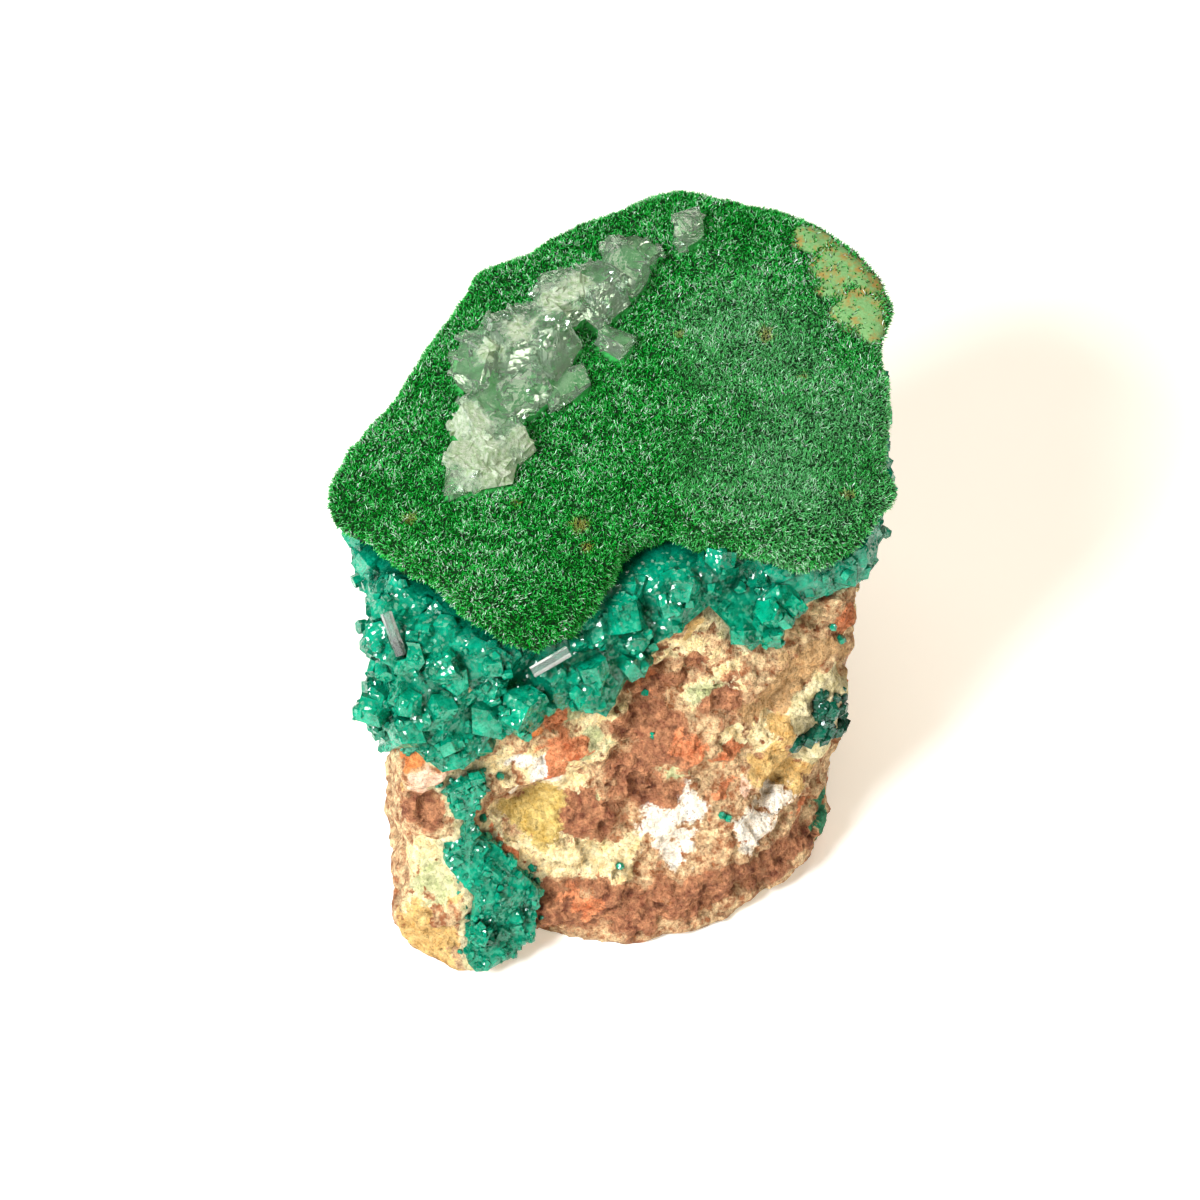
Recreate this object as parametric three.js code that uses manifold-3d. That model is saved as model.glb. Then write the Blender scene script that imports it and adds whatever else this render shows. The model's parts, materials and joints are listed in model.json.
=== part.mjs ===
// A miniature mineral specimen: a broken block of matrix rock, capped by a druse of dioptase crystals,
// over which lies a crust of velvet malachite that carries a ridge of clear calcite.
// Millimetres, +Z up, the broken front face towards -Y. The origin is under the middle of the specimen.
import * as THREE from "three";
import { ConvexGeometry } from "three/addons/geometries/ConvexGeometry.js";
import { ImprovedNoise } from "three/addons/math/ImprovedNoise.js";
import { mergeVertices } from "three/addons/utils/BufferGeometryUtils.js";
import Module from "manifold-3d";

const wasm = await Module();
wasm.setup();

// Driving dimensions
const CRUST_TOP = 33; // height of the malachite crust at the front edge
const BED_RISE = 0.14; // slope of the layers, up towards the back
const CRUST_THICK = 3; // malachite in the middle
const CRUST_RIM = 2.8; // malachite at its edge
const DRUSE_THICK = 1.5; // dioptase layer between rock and malachite
const DRUSE_BEVEL = 0.6; // how far the dioptase layer drops at its edge
const DRUSE_SKIN = 1; // dioptase that coats the sides of the rock
const GAP = 0.3; // joint between two minerals
const DROOP_SLOPE = 0.75; // fall of the malachite over the front edge
const FOOT_ROUNDING = 1.2; // how far the bottom edge of the rock draws in
const FOOT_SHARE = 0.07; // share of the rock's height that it does so over
const BED_HEIGHT = CRUST_TOP - CRUST_THICK - DRUSE_THICK - 2 * GAP; // rock's upper face at the front edge

// Outlines as [x, y], counter-clockwise from above, starting at the left of the front face.
// The foot and the shoulder of the rock have matching points.
const FOOT = [
  [-15.6, -6], [-11, -8.5], [-5.4, -6.1], [2, -6.2], [8.6, -4.6], [15.8, 1.2], [17.6, 8],
  [17, 18], [15, 28], [7, 33], [-1, 31], [-8, 25], [-13, 15], [-15.8, 3],
];
const SHOULDER = [
  [-15, -1.5], [-9, 0], [-3, 1.8], [4, 4.8], [12, 7], [19.6, 9.3], [20.8, 15],
  [20, 24], [18, 33], [9, 37.5], [0, 34.5], [-9, 28], [-15, 18], [-16.6, 8],
];
const CRUST = [
  [-21.4, 10.4], [-20.4, 8.2], [-17.6, 6.4], [-15.2, 3.4], [-12.2, 1.7], [-10.6, -0.2], [-8, -1.2],
  [-5.6, -1.8], [-2.8, -0.8], [-0.4, 1.2], [0.8, 3.2], [2.2, 5.8], [4.8, 7.4], [8, 6.4],
  [12.6, 5.8], [15.6, 5.4], [18.6, 6.8], [21.4, 8.9], [22.8, 10.8], [22.1, 14], [22.9, 20.8],
  [21.9, 25], [23, 29.6], [20.9, 34.2], [16, 39], [8.4, 41], [4.6, 41.2], [-3, 36.8],
  [-10.1, 32.6], [-10.9, 31.2], [-15.6, 21], [-19.7, 14.8],
];
const CRUST_CENTRE = new THREE.Vector3(2, 18, 0);
const ROCK_CENTRE = new THREE.Vector3(1.5, 15, 0);

// Lower edge of the dioptase coat, as a height at each shoulder point and halfway to the next one.
const DRUSE_LOW = [
  20.5, 19, 19.5, 22.5, 23, 20.8, 26, 28, 23.4, 26.5, 26.5, 27, 28, 28.5,
  29, 28, 28.5, 30, 31, 31, 30, 29.5, 28, 25, 21, 17, 13.5, 16,
];

// Hollows and knobs of the rock: a place on its face, a radius and a height, which is negative in a hollow.
const ROCK_FEATURES = [
  { at: [-6.2, -2.6, 12.4], radius: 2.5, height: -2.6 }, // mould of a lost crystal
  { at: [-4.2, -1.2, 19.6], radius: 1.9, height: 0.9 }, // rusty knob
  { at: [7.2, 3.2, 25.8], radius: 2, height: 1.3 }, // pale outcrop in the druse
  { at: [5.4, 0.7, 18], radius: 4, height: 0.9 },
  { at: [-5.4, -5.8, 0], radius: 2.3, height: -1.2 }, // arch beside the left foot
  { at: [-11.5, -6.8, 4], radius: 4, height: 0.7 }, // left foot
  { at: [17.4, 3.4, 17], radius: 2.2, height: -1.4 }, // notch at the right edge
  { at: [13.5, -2, 0], radius: 4, height: -1.2 },
];

const perlin = new ImprovedNoise();
const lump = (p, size, shift = 0) => perlin.noise(p.x / size + shift, p.y / size + shift, p.z / size + shift);
const bed = (x, y) => BED_HEIGHT + BED_RISE * y;

let seed = 7;
// A repeatable random number between low and high.
function between(low, high) {
  seed += 1;
  return low + (high - low) * THREE.MathUtils.seededRandom(seed);
}

function closedCurve(outline, tension) {
  const points = outline.map(([x, y]) => new THREE.Vector3(x, y, 0));
  return new THREE.CatmullRomCurve3(points, true, "catmullrom", tension);
}
const FOOT_CURVE = closedCurve(FOOT, 0.2);
const SHOULDER_CURVE = closedCurve(SHOULDER, 0.2);
const CRUST_CURVE = closedCurve(CRUST, 0.35);

// The value at u, from 0 to 1, on a closed run of evenly spaced values.
function closedValue(values, u) {
  const place = THREE.MathUtils.euclideanModulo(u, 1) * values.length;
  const first = Math.floor(place);
  return THREE.MathUtils.lerp(values[first], values[(first + 1) % values.length], place - first);
}

// The horizontal direction out of a counter-clockwise outline at u.
function outward(curve, u) {
  const along = curve.getTangent(THREE.MathUtils.euclideanModulo(u, 1));
  return new THREE.Vector3(along.y, -along.x, 0).normalize();
}

// Solids

// Joins rings of points into one closed body. The rings run outwards below, up the sides and inwards
// above, each counter-clockwise, and the first and the last close on their middles.
function ringBody(rings) {
  const count = rings[0].length;
  const middle = (ring) => ring.reduce((sum, p) => sum.add(p), new THREE.Vector3()).divideScalar(count);
  const points = [...rings.flat(), middle(rings[0]), middle(rings.at(-1))];
  const [lower, upper] = [points.length - 2, points.length - 1];
  const last = (rings.length - 1) * count;
  const index = [];
  for (let i = 0; i < count; i++) {
    const next = (i + 1) % count;
    index.push(lower, next, i, upper, last + i, last + next);
    for (let r = 0; r < last; r += count) {
      index.push(r + i, r + next, r + count + next, r + i, r + count + next, r + count + i);
    }
  }
  return solid(new THREE.BufferGeometry().setFromPoints(points).setIndex(index));
}

function solid(geometry) {
  geometry.deleteAttribute("normal");
  geometry.deleteAttribute("uv");
  const merged = mergeVertices(geometry, 1e-4);
  const vertProperties = merged.attributes.position.array;
  const triVerts = new Uint32Array(merged.index.array);
  return new wasm.Manifold(new wasm.Mesh({ numProp: 3, vertProperties, triVerts }));
}

const joined = (solids) => solids.reduce((sum, next) => sum.add(next));

function meshOf(name, body, material) {
  const { vertProperties, triVerts } = body.getMesh();
  const geometry = new THREE.BufferGeometry();
  geometry.setAttribute("position", new THREE.BufferAttribute(vertProperties, 3));
  geometry.setIndex(new THREE.BufferAttribute(triVerts, 1));
  const mesh = new THREE.Mesh(geometry, material);
  mesh.name = name;
  return mesh;
}

// Matrix rock

const BIG_LUMPS = { size: 7.5, height: 1.2 };
const SMALL_LUMPS = { size: 3.4, height: 1 };
const LEDGES = { pitch: 5.5, height: 1.2, rise: 0.56, waver: 0.6, waverSize: 9 }; // slant up to the right

// How far the broken rock stands out at p: lumps, slanting ledges, and the hollows and knobs.
function rockRelief(p) {
  const across = (p.z - LEDGES.rise * p.x) / Math.hypot(1, LEDGES.rise);
  const step = across / LEDGES.pitch + LEDGES.waver * lump(p, LEDGES.waverSize, 3);
  const ledge = Math.abs(step - Math.round(step)) * 2;
  let height = LEDGES.height * (0.5 - ledge);
  height += BIG_LUMPS.height * lump(p, BIG_LUMPS.size) + SMALL_LUMPS.height * lump(p, SMALL_LUMPS.size, 11);
  for (const { at, radius, height: rise } of ROCK_FEATURES) {
    const far = p.distanceTo(new THREE.Vector3(...at)) / radius;
    height += rise * Math.exp(-far * far);
  }
  return height;
}

// A point on the side of the rock, at u round it and t from the foot to the shoulder.
function wallPoint(u, t, grow = 0) {
  const foot = FOOT_CURVE.getPoint(u);
  const shoulder = SHOULDER_CURVE.getPoint(u);
  shoulder.z = bed(shoulder.x, shoulder.y);
  const p = foot.lerp(shoulder, t);
  const roundFoot = FOOT_ROUNDING * Math.max(0, 1 - t / FOOT_SHARE) ** 2;
  return p.addScaledVector(outward(SHOULDER_CURVE, u), rockRelief(p) - roundFoot + grow);
}

// The same, at a height instead of a share of the way up.
function wallAtHeight(u, height, grow = 0) {
  const shoulder = SHOULDER_CURVE.getPoint(THREE.MathUtils.euclideanModulo(u, 1));
  return wallPoint(THREE.MathUtils.euclideanModulo(u, 1), height / bed(shoulder.x, shoulder.y), grow);
}

// Shrinks a ring about a centre and sets its heights by a function of x and y.
function inset(ring, centre, share, height) {
  return ring.map((p) => {
    const q = centre.clone().lerp(p, share);
    return q.setZ(height(q.x, q.y));
  });
}

const ROCK_SIDES = 56;
const ROUND_ROCK = Array.from({ length: ROCK_SIDES }, (_, i) => i / ROCK_SIDES);

// The underside is flat where it carries the rock and hollow between.
const HOLLOWS = { size: 9, depth: 1.6, flat: 0.25 };
function underside(x, y) {
  const hollow = HOLLOWS.depth * perlin.noise(x / HOLLOWS.size + 5, y / HOLLOWS.size, 0.5);
  return Math.max(0, hollow - HOLLOWS.flat);
}

function rockRings(grow) {
  const wall = (t) => ROUND_ROCK.map((u) => wallPoint(u, t, grow));
  const below = (x, y) => underside(x, y) - grow;
  const above = (x, y) => bed(x, y) + grow;
  const steps = [0.03, 0.09, 0.17, 0.26, 0.35, 0.44, 0.53, 0.62, 0.71, 0.81, 0.93];
  return [
    ...[0.45, 0.8, 1].map((share) => inset(wall(0), ROCK_CENTRE, share, below)),
    ...steps.map(wall),
    inset(wall(1), ROCK_CENTRE, 0.985, above),
  ];
}

const rock = ringBody(rockRings(0));
const rockCutter = ringBody(rockRings(GAP));

// Malachite crust

// The rock's front edge as a straight line over x, and how far the crust hangs down where it reaches past it.
const FRONT_EDGE = { y: 3.1, slope: 0.31 };
const frontDroop = (x, y) => DROOP_SLOPE * Math.max(0, FRONT_EDGE.y + FRONT_EDGE.slope * x - y);

// The velvet's upper face: a gently lumpy sheet that hangs over the front.
const WAVES = { size: 8, height: 0.6 };
const DIMPLES = { size: 3.5, height: 0.3 };
function crustTop(x, y) {
  const p = new THREE.Vector3(x, y, 0);
  const relief = WAVES.height * lump(p, WAVES.size, 2) + DIMPLES.height * lump(p, DIMPLES.size, 4);
  return CRUST_TOP + BED_RISE * y - frontDroop(x, y) + relief;
}
const crustBottom = (x, y) => CRUST_TOP - CRUST_THICK + BED_RISE * y - frontDroop(x, y);

const CRUST_SIDES = 70;
const CRUST_REACH = 20; // about its middle radius
const RAGGED = { size: 1.7, height: 0.5 }; // of the crust's edge

// Rings of the crust, which turn from its outline to round ones towards the middle.
function crustRings(grow) {
  const rim = Array.from({ length: CRUST_SIDES }, (_, i) => {
    const p = CRUST_CURVE.getPoint(i / CRUST_SIDES);
    const ragged = RAGGED.height * lump(p, RAGGED.size, 6);
    return p.addScaledVector(outward(CRUST_CURVE, i / CRUST_SIDES), ragged + grow);
  });
  const rounder = (share) =>
    rim.map((p) => {
      const round = p.clone().sub(CRUST_CENTRE).setLength(CRUST_REACH).add(CRUST_CENTRE);
      return round.lerp(p, share);
    });
  const ringAt = (share, height) => inset(rounder(share), CRUST_CENTRE, share, height);
  const bottom = (x, y) => crustBottom(x, y) - grow;
  const underEdge = (x, y) => crustTop(x, y) - CRUST_RIM - grow;
  const topAt = (drop) => (x, y) => crustTop(x, y) - drop + grow;
  return [
    ringAt(0.5, bottom),
    ringAt(0.86, bottom),
    ringAt(0.965, underEdge),
    ringAt(1, topAt(1.3)),
    ringAt(0.985, topAt(0.45)),
    ...[0.945, 0.82, 0.66, 0.48, 0.28].map((share) => ringAt(share, topAt(0))),
  ];
}

const crust = ringBody(crustRings(0));
const crustCutter = ringBody(crustRings(GAP));

// Dioptase

const POINT_HEIGHT = 0.8; // of a crystal's point, as a share of its radius
const LEAN = 0.5; // how far a crystal's axis strays, as a slope

// A six-sided prism with a three-faced rhombohedral point, its foot at the origin and its axis up.
function dioptaseCrystal(radius, length) {
  const corners = [];
  for (let i = 0; i < 6; i++) {
    const [x, y] = [Math.cos((i * Math.PI) / 3) * radius, Math.sin((i * Math.PI) / 3) * radius];
    const shoulder = length - radius * (i % 2 ? POINT_HEIGHT / 2 : POINT_HEIGHT);
    corners.push(new THREE.Vector3(x, y, 0), new THREE.Vector3(x, y, shoulder));
  }
  return new ConvexGeometry([...corners, new THREE.Vector3(0, 0, length)]);
}

// A crystal that stands at a foot, about along an axis, with its root a radius deep.
function crystalAt(foot, axis, radius, stand) {
  const up = new THREE.Vector3(0, 0, 1);
  const lean = new THREE.Vector3(between(-LEAN, LEAN), between(-LEAN, LEAN), between(-LEAN, LEAN) / 1.5);
  const leaning = axis.clone().add(lean).normalize();
  const turn = new THREE.Quaternion().setFromUnitVectors(up, leaning);
  const spin = new THREE.Quaternion().setFromAxisAngle(up, between(0, Math.PI));
  const crystal = dioptaseCrystal(radius, radius + stand).applyQuaternion(spin).applyQuaternion(turn);
  return solid(crystal.translate(...foot.clone().addScaledVector(leaning, -radius)));
}

// A crystal on the rock's side at u and a height, more or less turned upwards.
function wallCrystal(u, height, radius, stand, upwards = 0.3) {
  return crystalAt(wallAtHeight(u, height), outward(SHOULDER_CURVE, u).setZ(upwards), radius, stand);
}

// A crystal on the ledge of the druse that the malachite leaves bare, a share of the way out from the middle.
function ledgeCrystal(u, share, radius, stand) {
  const foot = ROCK_CENTRE.clone().lerp(wallAtHeight(u, BED_HEIGHT), share);
  foot.z = bed(foot.x, foot.y) + DRUSE_THICK - DRUSE_BEVEL;
  return crystalAt(foot, outward(SHOULDER_CURVE, u).setZ(1), radius, stand);
}

// The layer on top of the rock and the coat down its sides, down to the druse's lower edge.
function druseBed() {
  const low = (u) => closedValue(DRUSE_LOW, u);
  const reach = (u) => SHOULDER_CURVE.getPoint(u);
  const top = (u) => bed(reach(u).x, reach(u).y);
  const wall = (share) =>
    ROUND_ROCK.map((u) => wallAtHeight(u, THREE.MathUtils.lerp(low(u), top(u), share), DRUSE_SKIN));
  const above = (x, y) => bed(x, y) + GAP + DRUSE_THICK;
  const hidden = wall(0).map((p) => ROCK_CENTRE.clone().setZ(p.z).lerp(p, 0.8));
  return ringBody([
    hidden,
    ...[0, 0.45, 0.9].map(wall),
    inset(wall(1), ROCK_CENTRE, 0.985, (x, y) => above(x, y) - DRUSE_BEVEL),
    inset(wall(1), ROCK_CENTRE, 0.87, above),
  ]);
}

// Crystals in staggered rows over the coat, denser on the front and the left than behind.
const CRYSTAL_ZONES = [
  { from: 0, to: 0.36, columns: 12 },
  { from: 0.36, to: 0.86, columns: 5 },
  { from: 0.86, to: 1, columns: 5 },
];
const ROW_PITCH = 3.4;

function druseCrystals() {
  const made = [];
  for (const { from, to, columns } of CRYSTAL_ZONES) {
    for (let i = 0; i < columns; i++) {
      const u = THREE.MathUtils.lerp(from, to, (i + between(0.2, 0.8)) / columns);
      const lowest = closedValue(DRUSE_LOW, u);
      const shoulder = SHOULDER_CURVE.getPoint(u);
      const highest = bed(shoulder.x, shoulder.y) + DRUSE_THICK;
      const rows = Math.max(1, Math.round((highest - lowest) / ROW_PITCH));
      for (let row = 0; row < rows; row++) {
        const share = (row + between(0.3, 0.8)) / rows;
        const height = THREE.MathUtils.lerp(lowest, highest, share);
        made.push(wallCrystal(u, height, between(1.1, 1.9), between(1.4, 2.3), share));
      }
    }
  }
  return made;
}

// Places of the crystals on the bare ledges: left of the front and in the bay of the malachite.
const LEDGE_PLACES = [
  [0.955, 0.9], [0.98, 0.94], [0.985, 0.83], [0.01, 0.93], [0.035, 0.92],
  [0.2, 0.93], [0.222, 0.86], [0.238, 0.94], [0.26, 0.88], [0.28, 0.94],
];
const ledgeCrystals = LEDGE_PLACES.map(([u, share]) =>
  ledgeCrystal(u, share, between(1.2, 1.7), between(1, 1.7)),
);

const grown = joined([druseBed(), ...druseCrystals(), ...ledgeCrystals]);
const druse = grown.subtract(rockCutter).subtract(crustCutter);

const COAT_REACH = 3; // how far a coat's outline reaches into the rock and out of it
const rockCoat = ringBody(rockRings(DRUSE_SKIN));

// A coat over part of the rock's side, inside a convex outline of places as [u, height].
function coat(outline) {
  const region = [-COAT_REACH, COAT_REACH].flatMap((off) =>
    outline.map(([u, height]) => wallAtHeight(u, height, off)),
  );
  return rockCoat.intersect(solid(new ConvexGeometry(region)));
}

// A patch of dioptase on the rock: coats with crystals on them, at places as [u, height].
function crystalPatch(outlines, places, radius, stand) {
  const crystals = places.map(([u, height]) =>
    wallCrystal(u, height, radius * between(0.85, 1.2), stand * between(0.7, 1.2)),
  );
  return joined([...outlines.map(coat), ...crystals]).subtract(rockCutter);
}

// The seam runs down the left of the front face to the foot.
const SEAM_OUTLINES = [
  [[0.045, 16.4], [0.06, 17.3], [0.085, 17.4], [0.083, 15], [0.068, 13.8], [0.05, 14]],
  [[0.062, 14.6], [0.074, 14.6], [0.078, 11], [0.06, 11]],
  [[0.045, 11], [0.075, 12.2], [0.105, 10.3], [0.085, 7.5], [0.045, 9.8]],
  [[0.08, 9], [0.105, 10.2], [0.137, 6.6], [0.135, 2.8], [0.115, 1.4], [0.085, 1.4], [0.075, 2.2]],
];
const SEAM_PLACES = [
  [0.056, 16], [0.074, 16], [0.062, 10.8], [0.085, 10.6], [0.1, 8.6], [0.123, 6.6],
  [0.1, 5.8], [0.12, 3.8], [0.094, 2.6],
];
const seam = crystalPatch(SEAM_OUTLINES, SEAM_PLACES, 1.4, 1.1);

const RIGHT_OUTLINES = [
  [[0.33, 17.4], [0.352, 18.4], [0.378, 17], [0.388, 11.6], [0.37, 10.6], [0.34, 13.4]],
];
const RIGHT_PLACES = [[0.344, 16.4], [0.362, 15.6], [0.356, 13], [0.376, 13]];
const rightPatch = crystalPatch(RIGHT_OUTLINES, RIGHT_PLACES, 1.4, 1.1);

// Calcite

const RHOMB_SKEW = 0.27; // lean of a cleavage rhomb's faces
const RHOMB_TAPER = 0.74; // its top beside its foot
const CALCITE_ROOT = 0.9; // depth of its foot in the crust
const CHIPPED = 0.5; // how far its corners are worn away
const CUBE_CORNERS = [0, 1, 2, 3, 4, 5, 6, 7].map((n) => [n & 1, (n >> 1) & 1, n >> 2]);

// A worn cleavage rhomb of calcite on the crust: place, size, turn about the vertical and tilt.
function calciteLump({ at: [x, y], size: [length, width, height], turn, tilt = 0 }) {
  const corners = CUBE_CORNERS.map(([i, j, k]) => {
    const share = k ? RHOMB_TAPER : 1;
    const skewed = new THREE.Vector3(i - 0.5 + RHOMB_SKEW * (j - 0.5), j - 0.5, k);
    skewed.multiply(new THREE.Vector3(length * share, width * share, height));
    const worn = new THREE.Vector3(between(-1, 1), between(-1, 1), between(-1, 0.6) * k);
    return skewed.addScaledVector(worn, CHIPPED);
  });
  const rhomb = new ConvexGeometry(corners).rotateX(THREE.MathUtils.degToRad(tilt));
  rhomb.rotateZ(THREE.MathUtils.degToRad(turn));
  return solid(rhomb.translate(x, y, crustTop(x, y) - CALCITE_ROOT));
}

const RIDGE_LUMPS = [
  { at: [-9, 12.4], size: [6.4, 5, 2.1], turn: 10 }, // frosted plate at the front
  { at: [-7.6, 14.2], size: [5.4, 4, 2.4], turn: 40, tilt: -8 },
  { at: [-9, 17.6], size: [7.4, 4.8, 2.9], turn: 60, tilt: 10 },
  { at: [-9.2, 21.4], size: [5.4, 3.2, 3.2], turn: 75, tilt: -14 },
  { at: [-6.4, 19], size: [5.6, 3.4, 3.1], turn: 48, tilt: 12 },
  { at: [-6.8, 24], size: [4.6, 5, 4.2], turn: 35, tilt: 8 },
  { at: [-3.6, 23.6], size: [4.8, 3.8, 4.4], turn: 62, tilt: -10 }, // clear block
  { at: [-3.4, 28], size: [5, 4.2, 4.5], turn: 25, tilt: 10 }, // pale block
  { at: [-0.4, 28.8], size: [4, 4.4, 3.4], turn: 50, tilt: -12 },
  { at: [1.6, 31.6], size: [3.6, 4.2, 2.9], turn: 65, tilt: 8 },
  { at: [3, 34], size: [2.6, 3.4, 2], turn: 50 },
  { at: [-2.6, 20.4], size: [4.2, 3.4, 1.7], turn: 30 }, // low plate on the right
];
const GRAIN = { at: [7.2, 36], size: [3, 2.6, 2.2], turn: 30 };
const CHIP = { at: [0.9, 24.6], size: [2.4, 3.2, 2.1], turn: 60 };

const calcite = (lumps) => joined(lumps.map(calciteLump)).subtract(crustCutter);

// Clear prisms that lie on the druse: middle, length, width, turn about the vertical, lift above the level.
const PRISMS = {
  clear_prism_left: { at: [-15.6, -0.9, 30.3], length: 3.4, width: 0.9, heading: 120, lift: 50 },
  clear_prism_front: { at: [-3.8, -1.2, 27.6], length: 3.2, width: 0.9, heading: 25, lift: 18 },
};

function clearPrism({ at, length, width, heading, lift }, grow = 0) {
  const bar = new THREE.CylinderGeometry(width / 2 + grow, width / 2 + grow, length + 2 * grow, 6);
  bar.rotateZ(-Math.PI / 2).rotateY(-THREE.MathUtils.degToRad(lift));
  bar.rotateZ(THREE.MathUtils.degToRad(heading));
  return solid(bar.translate(...at));
}

// Finishes
const finish = (color, roughness) => new THREE.MeshStandardMaterial({ color, roughness, metalness: 0 });
const ROCK_FINISH = finish(0xb98a5e, 0.9);
const MALACHITE_FINISH = finish(0x1f7a3c, 0.6);
const DIOPTASE_FINISH = finish(0x05897a, 0.15);
const CALCITE_FINISH = finish(0xd6e6cf, 0.2);

// Assembly
const prismCutters = Object.values(PRISMS).map((prism) => clearPrism(prism, GAP));
const drusePiece = prismCutters.reduce((body, cutter) => body.subtract(cutter), druse);

const specimen = new THREE.Group();
specimen.add(
  meshOf("matrix", rock, ROCK_FINISH),
  meshOf("malachite_crust", crust, MALACHITE_FINISH),
  meshOf("dioptase_druse", drusePiece, DIOPTASE_FINISH),
  meshOf("dioptase_seam", seam, DIOPTASE_FINISH),
  meshOf("dioptase_right_patch", rightPatch, DIOPTASE_FINISH),
  meshOf("calcite_ridge", calcite(RIDGE_LUMPS), CALCITE_FINISH),
  meshOf("calcite_grain", calcite([GRAIN]), CALCITE_FINISH),
  meshOf("calcite_chip", calcite([CHIP]), CALCITE_FINISH),
  ...Object.entries(PRISMS).map(([name, prism]) => meshOf(name, clearPrism(prism), CALCITE_FINISH)),
);

// The middle of the specimen's box goes over the origin.
const middle = new THREE.Box3().setFromObject(specimen).getCenter(new THREE.Vector3());
specimen.position.set(-middle.x, -middle.y, 0);

export default specimen;
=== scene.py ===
# %% [markdown]
# # Dioptase with velvet malachite
# A hand specimen from a copper deposit: a block of rusty rock, a band of emerald dioptase
# crystals under a thick crust of velvet malachite, and a ridge of clear calcite on top.
# The CAD frame gives every piece its place and size. This lesson gives each one its surface.

# %% Frame
import bpy
import json
import math
import numpy as np
from mathutils import Matrix, Vector, noise
from mathutils.bvhtree import BVHTree

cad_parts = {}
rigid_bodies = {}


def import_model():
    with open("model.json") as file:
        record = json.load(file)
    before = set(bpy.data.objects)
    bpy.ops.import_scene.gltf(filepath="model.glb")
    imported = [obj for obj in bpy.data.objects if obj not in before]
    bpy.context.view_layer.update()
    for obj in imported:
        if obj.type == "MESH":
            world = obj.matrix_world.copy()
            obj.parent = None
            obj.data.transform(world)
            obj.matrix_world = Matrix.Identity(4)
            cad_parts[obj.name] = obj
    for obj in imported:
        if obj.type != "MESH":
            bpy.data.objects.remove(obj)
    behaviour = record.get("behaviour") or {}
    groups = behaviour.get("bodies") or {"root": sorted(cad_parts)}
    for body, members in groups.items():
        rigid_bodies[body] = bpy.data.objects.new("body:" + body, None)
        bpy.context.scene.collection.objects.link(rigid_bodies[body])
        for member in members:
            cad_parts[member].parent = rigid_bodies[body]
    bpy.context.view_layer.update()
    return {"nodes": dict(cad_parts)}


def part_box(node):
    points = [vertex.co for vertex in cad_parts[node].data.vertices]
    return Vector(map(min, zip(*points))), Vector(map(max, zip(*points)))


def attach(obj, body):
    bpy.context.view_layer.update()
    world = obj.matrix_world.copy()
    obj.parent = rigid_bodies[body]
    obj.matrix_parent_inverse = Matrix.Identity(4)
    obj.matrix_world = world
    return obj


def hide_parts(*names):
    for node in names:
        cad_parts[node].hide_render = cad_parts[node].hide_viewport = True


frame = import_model()
nodes = frame["nodes"]
MM = 0.001

# %% [markdown]
# ## Camera
# The photograph looks down on the velvet top at about 45 degrees, from far enough away that
# parallel edges hardly meet. A long lens 400 mm off gives that. The point it looks at is
# measured from the crust, so the view follows the frame.

# %% Camera
IMAGE_PIXELS = 1200
SENSOR_MM = 36
VIEW_HEIGHT = math.radians(45)
VIEW_DISTANCE = 400 * MM
VIEW_FIELD = 90 * MM
AIM_FROM_CRUST_CORNER = (21.2 * MM, 1.7 * MM)
AIM_HEIGHT = 33 * MM

crust_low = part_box("malachite_crust")[0]
aim = Vector((crust_low.x + AIM_FROM_CRUST_CORNER[0], crust_low.y + AIM_FROM_CRUST_CORNER[1], AIM_HEIGHT))
towards_camera = Vector((0, -math.cos(VIEW_HEIGHT), math.sin(VIEW_HEIGHT)))
lens = bpy.data.cameras.new("camera")
lens.sensor_width = SENSOR_MM
lens.lens = SENSOR_MM * VIEW_DISTANCE / VIEW_FIELD
camera = bpy.data.objects.new("camera", lens)
camera.location = aim + towards_camera * VIEW_DISTANCE
camera.rotation_mode = "QUATERNION"
camera.rotation_quaternion = (-towards_camera).to_track_quat("-Z", "Y")
bpy.context.scene.collection.objects.link(camera)
bpy.context.scene.camera = camera
print("camera: lens", lens.lens, "mm")

# %% [markdown]
# ## Points under a pixel
# Stains, specks and bare patches are easiest to find in the photograph. A ray from the camera
# through a pixel meets the solid at the point that shows there, so each mark is given as a pixel
# and still lies on its surface.

# %% Rays
def tree_of(*names):
    """A search tree of these solids' faces."""
    points = []
    faces = []
    for name in names:
        mesh = nodes[name].data
        start = len(points)
        points += [corner.co.copy() for corner in mesh.vertices]
        faces += [[start + i for i in face.vertices] for face in mesh.polygons]
    return BVHTree.FromPolygons(points, faces)


def seen_at(pixel, tree):
    """The point of the tree's faces that shows at a pixel of the photograph's frame."""
    reach = VIEW_FIELD / VIEW_DISTANCE / IMAGE_PIXELS
    half = IMAGE_PIXELS / 2
    ray = Vector(((pixel[0] - half) * reach, (half - pixel[1]) * reach, -1))
    return tree.ray_cast(camera.location, camera.rotation_quaternion @ ray)[0]


rock_tree = tree_of("matrix")
crust_tree = tree_of("malachite_crust")
calcite_tree = tree_of("calcite_ridge", "calcite_grain", "calcite_chip")
dioptase_tree = tree_of("dioptase_druse", "dioptase_seam", "dioptase_right_patch")
print("middle of the velvet:", [round(value / MM, 1) for value in seen_at((600, 450), crust_tree)])

# %% [markdown]
# ## Shader tools
# Colours are written as sRGB hex values, as a paint chart gives them, and one function turns
# them to the linear light that the shaders use. One more function adds a node.

# %% Colour and nodes
def colour(hex_value):
    """A linear colour with alpha from an sRGB hex value such as 0x2f9a4c."""
    parts = [(hex_value >> shift & 255) / 255 for shift in (16, 8, 0)]
    return (*(part / 12.92 if part <= 0.04045 else ((part + 0.055) / 1.055) ** 2.4 for part in parts), 1)


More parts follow.
